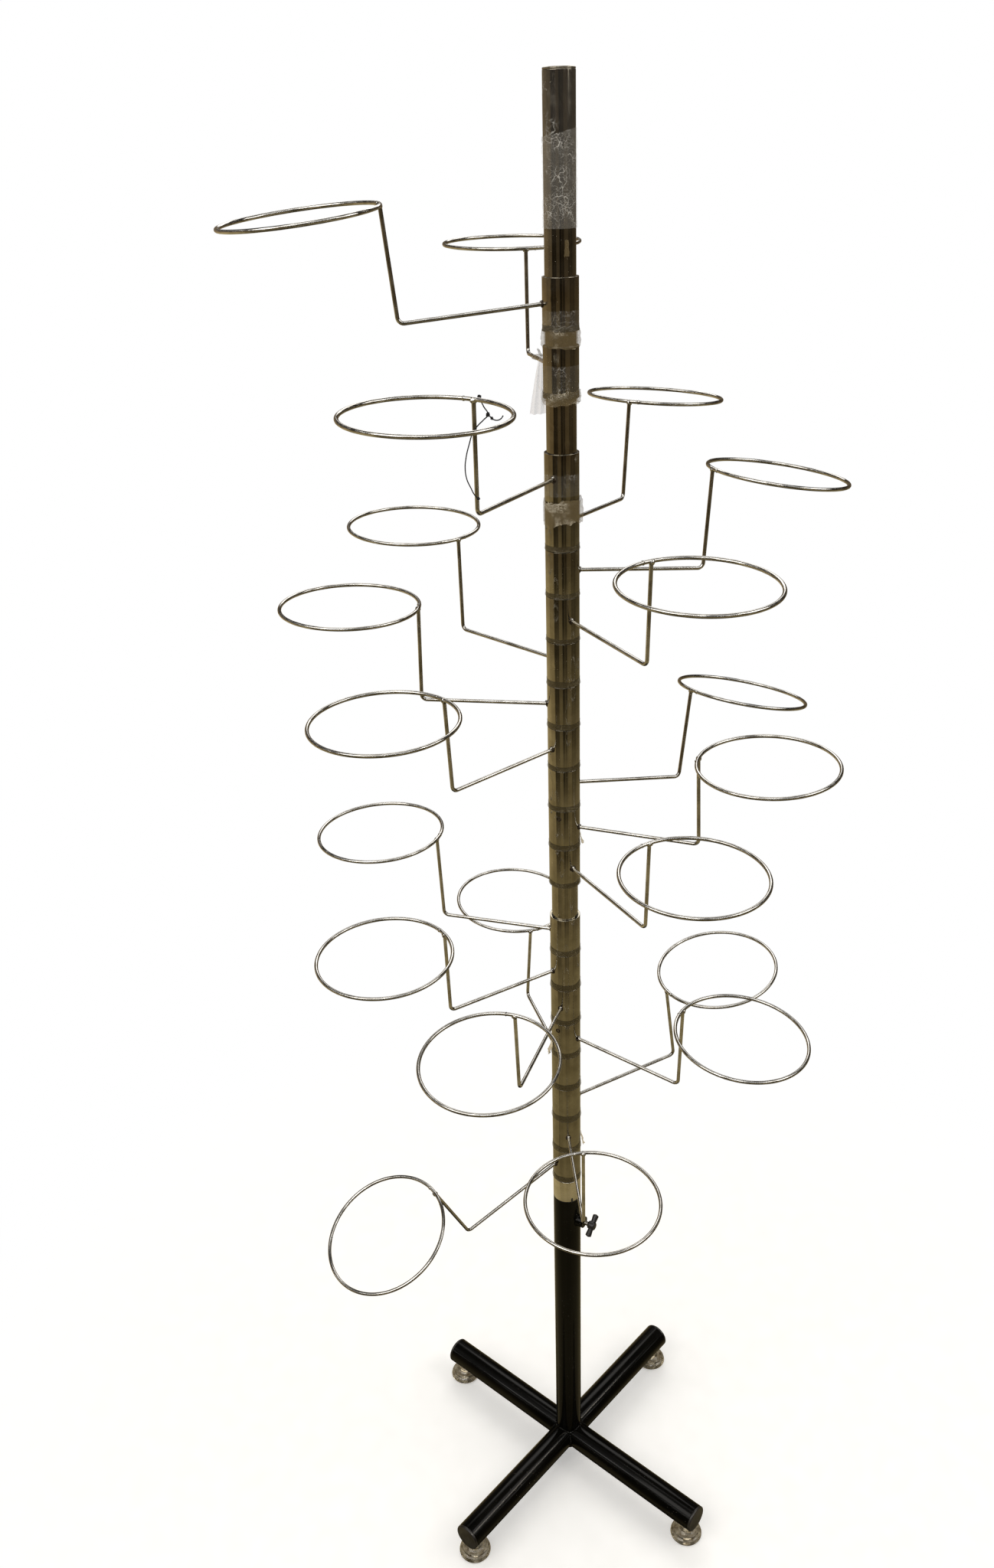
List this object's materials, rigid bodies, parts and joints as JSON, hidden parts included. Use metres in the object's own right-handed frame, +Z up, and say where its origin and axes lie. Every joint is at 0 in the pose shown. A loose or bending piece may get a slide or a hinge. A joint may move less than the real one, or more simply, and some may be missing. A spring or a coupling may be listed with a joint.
{
  "type": "rotating display rack",
  "caption": "Free-standing display rack: wire ring holders on collars that turn around a chrome pole, which turns and telescopes in a black post on a cross base with clear feet.",
  "frame": {"origin": "on the pole's axis, at floor level", "axes": "+Z up along the pole; the four legs lie on the diagonals between X and Y; the side with the clamp lever and the lowest front ring faces -Y"},
  "size_m": [0.6159, 0.6015, 1.78],
  "materials": {
    "chrome_tube": "bright chrome plate on drawn steel tube",
    "chrome_wire": "bright chrome plate on round steel wire",
    "black_enamel": "gloss black stove enamel",
    "black_plastic": "moulded black plastic, semi-gloss",
    "clear_plastic": "clear moulded plastic",
    "zinc_steel": "zinc-plated screw thread",
    "nylon": "natural nylon"
  },
  "bodies": {
    "base": {"post": "black_enamel", "leg_1": "black_enamel", "leg_2": "black_enamel", "leg_3": "black_enamel", "leg_4": "black_enamel", "leg_cap_1": "black_plastic", "leg_cap_2": "black_plastic", "leg_cap_3": "black_plastic", "leg_cap_4": "black_plastic", "foot_1": "clear_plastic", "foot_2": "clear_plastic", "foot_3": "clear_plastic", "foot_4": "clear_plastic", "clamp_boss": "black_enamel"},
    "pole_foot": {"pole_foot": "nylon"},
    "pole": {"pole": "chrome_tube", "pole_cap": "chrome_tube", "stop_ring": "chrome_tube"},
    "collar_01": {"collar_01": "chrome_tube", "holder_01": "chrome_wire"},
    "collar_02": {"collar_02": "chrome_tube", "holder_02": "chrome_wire"},
    "collar_03": {"collar_03": "chrome_tube", "holder_03": "chrome_wire"},
    "collar_04": {"collar_04": "chrome_tube", "holder_04": "chrome_wire"},
    "collar_05": {"collar_05": "chrome_tube", "holder_05": "chrome_wire"},
    "collar_06": {"collar_06": "chrome_tube", "holder_06": "chrome_wire"},
    "collar_07": {"collar_07": "chrome_tube", "holder_07": "chrome_wire"},
    "collar_08": {"collar_08": "chrome_tube", "holder_08": "chrome_wire"},
    "collar_09": {"collar_09": "chrome_tube", "holder_09": "chrome_wire"},
    "collar_10": {"collar_10": "chrome_tube", "holder_10": "chrome_wire"},
    "collar_11": {"collar_11": "chrome_tube", "holder_11": "chrome_wire"},
    "collar_12": {"collar_12": "chrome_tube", "holder_12": "chrome_wire"},
    "collar_13": {"collar_13": "chrome_tube", "holder_13": "chrome_wire"},
    "collar_14": {"collar_14": "chrome_tube", "holder_14": "chrome_wire"},
    "collar_15": {"collar_15": "chrome_tube", "holder_15": "chrome_wire"},
    "collar_16": {"collar_16": "chrome_tube", "holder_16": "chrome_wire"},
    "collar_17": {"collar_17": "chrome_tube", "holder_17": "chrome_wire"},
    "collar_18": {"collar_18": "chrome_tube", "holder_18": "chrome_wire"},
    "collar_19": {"collar_19": "chrome_tube", "holder_19": "chrome_wire"},
    "collar_20": {"collar_20": "chrome_tube", "holder_20": "chrome_wire"},
    "clamp_screw": {"clamp_screw": "zinc_steel"},
    "clamp_lever": {"clamp_lever": "black_plastic"}
  },
  "joints": [
    {"name": "pole_height", "type": "slide", "parent": "base", "child": "pole_foot", "axis": [0, 0, 1], "range_m": [0, 0.3]},
    {"name": "pole_spin", "type": "hinge", "parent": "pole_foot", "child": "pole", "pos_m": [0, 0, 0], "axis": [0, 0, 1], "continuous": true},
    {"name": "collar_01_spin", "type": "hinge", "parent": "pole", "child": "collar_01", "pos_m": [0, 0, 1.58275], "axis": [0, 0, 1], "range_deg": [-70, 180]},
    {"name": "collar_02_spin", "type": "hinge", "parent": "pole", "child": "collar_02", "pos_m": [0, 0, 1.52075], "axis": [0, 0, 1], "range_deg": [-180, 70]},
    {"name": "collar_03_spin", "type": "hinge", "parent": "pole", "child": "collar_03", "pos_m": [0, 0, 1.41975], "axis": [0, 0, 1], "range_deg": [-125, 120]},
    {"name": "collar_04_spin", "type": "hinge", "parent": "pole", "child": "collar_04", "pos_m": [0, 0, 1.37075], "axis": [0, 0, 1], "range_deg": [-35, 160]},
    {"name": "collar_05_spin", "type": "hinge", "parent": "pole", "child": "collar_05", "pos_m": [0, 0, 1.32175], "axis": [0, 0, 1], "range_deg": [-60, 35]},
    {"name": "collar_06_spin", "type": "hinge", "parent": "pole", "child": "collar_06", "pos_m": [0, 0, 1.27275], "axis": [0, 0, 1], "range_deg": [-105, 60]},
    {"name": "collar_07_spin", "type": "hinge", "parent": "pole", "child": "collar_07", "pos_m": [0, 0, 1.22375], "axis": [0, 0, 1], "range_deg": [-105, 20]},
    {"name": "collar_08_spin", "type": "hinge", "parent": "pole", "child": "collar_08", "pos_m": [0, 0, 1.17475], "axis": [0, 0, 1], "range_deg": [-20, 35]},
    {"name": "collar_09_spin", "type": "hinge", "parent": "pole", "child": "collar_09", "pos_m": [0, 0, 1.12575], "axis": [0, 0, 1], "range_deg": [-35, 100]},
    {"name": "collar_10_spin", "type": "hinge", "parent": "pole", "child": "collar_10", "pos_m": [0, 0, 1.07675], "axis": [0, 0, 1], "range_deg": [-10, 180]},
    {"name": "collar_11_spin", "type": "hinge", "parent": "pole", "child": "collar_11", "pos_m": [0, 0, 1.02775], "axis": [0, 0, 1], "range_deg": [-25, 10]},
    {"name": "collar_12_spin", "type": "hinge", "parent": "pole", "child": "collar_12", "pos_m": [0, 0, 0.97875], "axis": [0, 0, 1], "range_deg": [-125, 25]},
    {"name": "collar_13_spin", "type": "hinge", "parent": "pole", "child": "collar_13", "pos_m": [0, 0, 0.88675], "axis": [0, 0, 1], "range_deg": [-180, 35]},
    {"name": "collar_14_spin", "type": "hinge", "parent": "pole", "child": "collar_14", "pos_m": [0, 0, 0.83775], "axis": [0, 0, 1], "range_deg": [-35, 25]},
    {"name": "collar_15_spin", "type": "hinge", "parent": "pole", "child": "collar_15", "pos_m": [0, 0, 0.78875], "axis": [0, 0, 1], "range_deg": [-25, 60]},
    {"name": "collar_16_spin", "type": "hinge", "parent": "pole", "child": "collar_16", "pos_m": [0, 0, 0.73975], "axis": [0, 0, 1], "range_deg": [-60, 35]},
    {"name": "collar_17_spin", "type": "hinge", "parent": "pole", "child": "collar_17", "pos_m": [0, 0, 0.69075], "axis": [0, 0, 1], "range_deg": [-60, 120]},
    {"name": "collar_18_spin", "type": "hinge", "parent": "pole", "child": "collar_18", "pos_m": [0, 0, 0.64175], "axis": [0, 0, 1], "range_deg": [-35, 60]},
    {"name": "collar_19_spin", "type": "hinge", "parent": "pole", "child": "collar_19", "pos_m": [0, 0, 0.59275], "axis": [0, 0, 1], "range_deg": [-160, 90]},
    {"name": "collar_20_spin", "type": "hinge", "parent": "pole", "child": "collar_20", "pos_m": [0, 0, 0.54375], "axis": [0, 0, 1], "continuous": true},
    {"name": "clamp_screw_travel", "type": "slide", "parent": "base", "child": "clamp_screw", "axis": [0.809, -0.5878, 0], "range_m": [0, 0.0015]},
    {"name": "clamp_lever_turn", "type": "hinge", "parent": "clamp_screw", "child": "clamp_lever", "pos_m": [0, 0, 0.448], "axis": [0.809, -0.5878, 0], "range_deg": [0, 360]}
  ],
  "couplings": [
    {"joint": "clamp_screw_travel", "follows": "clamp_lever_turn", "m_per_rad": 0.00023873}
  ]
}
